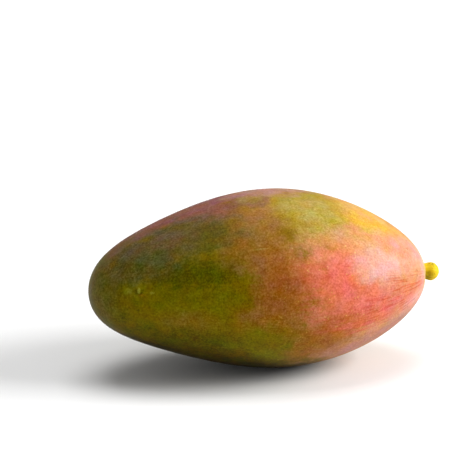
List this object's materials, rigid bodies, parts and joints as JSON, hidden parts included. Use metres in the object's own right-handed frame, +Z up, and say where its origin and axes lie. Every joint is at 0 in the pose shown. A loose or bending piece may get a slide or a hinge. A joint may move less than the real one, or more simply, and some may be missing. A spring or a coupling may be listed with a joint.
{
  "type": "mango",
  "caption": "Ripe elongated mango lying on one cheek, green with a red blush, with its short yellow-green stem.",
  "frame": {"origin": "middle of the underside of the bounding box, on the surface that the fruit rests on and within its small flat spot", "axes": "+X along the fruit towards the stem, +Y towards the fuller dorsal side, with the beak on the -Y side, and +Z up from the surface it rests on"},
  "size_m": [0.1568, 0.0876, 0.0766],
  "materials": {
    "skin": "smooth waxy satin skin, dark green and mauve towards the apex, golden and coral red towards the stem, with fine pale specks",
    "stem": "matt yellow-green bark with faint ribs and a brownish rounded end"
  },
  "bodies": {
    "root": {"fruit": "skin", "stem": "stem"}
  },
  "joints": []
}
